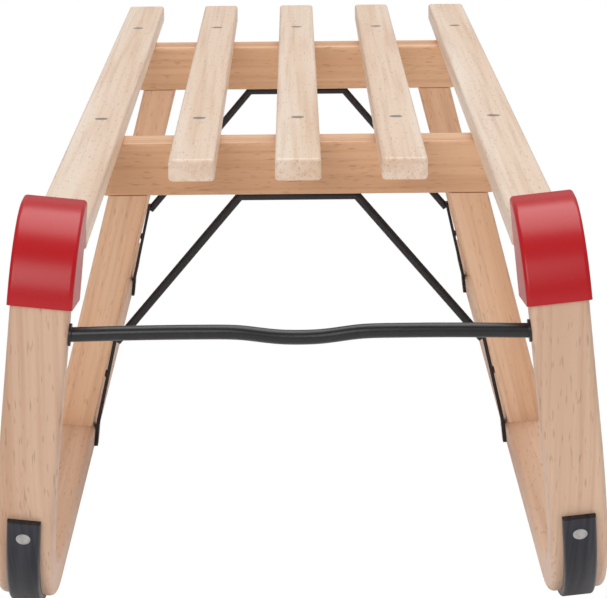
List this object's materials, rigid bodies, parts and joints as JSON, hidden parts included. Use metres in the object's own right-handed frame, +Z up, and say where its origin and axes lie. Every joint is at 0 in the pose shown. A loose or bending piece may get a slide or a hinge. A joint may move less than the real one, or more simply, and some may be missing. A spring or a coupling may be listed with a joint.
{
  "type": "wooden sled",
  "caption": "wooden sled with slatted seat, bent runners with steel strips, splayed trestle legs, braced by steel rods, with capped horns and a pull bar",
  "frame": {"origin": "on the floor, midway along the sled and midway between the runners", "axes": "+Z up, -Y toward the horns (forward), +X to the right as seen from the front"},
  "size_m": [0.3716, 1.0022, 0.2698],
  "materials": {
    "beech": "clear-lacquered beech",
    "red_caps": "moulded red plastic",
    "steel_strips": "bare rolled steel",
    "black_rods": "black painted steel",
    "zinc_screws": "zinc plated"
  },
  "bodies": {
    "root": {"front_beam": "beech", "front_brace": "black_rods", "front_left_leg": "beech", "front_right_leg": "beech", "front_seat_screws": "zinc_screws", "left_front_strap_screws": "zinc_screws", "left_horn_cap": "red_caps", "left_rail": "beech", "left_rear_strap_screws": "zinc_screws", "left_runner": "beech", "left_steel_strip": "steel_strips", "left_strip_screw": "zinc_screws", "pull_bar": "black_rods", "rear_beam": "beech", "rear_brace": "black_rods", "rear_left_leg": "beech", "rear_right_leg": "beech", "rear_seat_screws": "zinc_screws", "right_front_strap_screws": "zinc_screws", "right_horn_cap": "red_caps", "right_rail": "beech", "right_rear_strap_screws": "zinc_screws", "right_runner": "beech", "right_steel_strip": "steel_strips", "right_strip_screw": "zinc_screws", "slat_left": "beech", "slat_middle": "beech", "slat_right": "beech"}
  },
  "joints": []
}
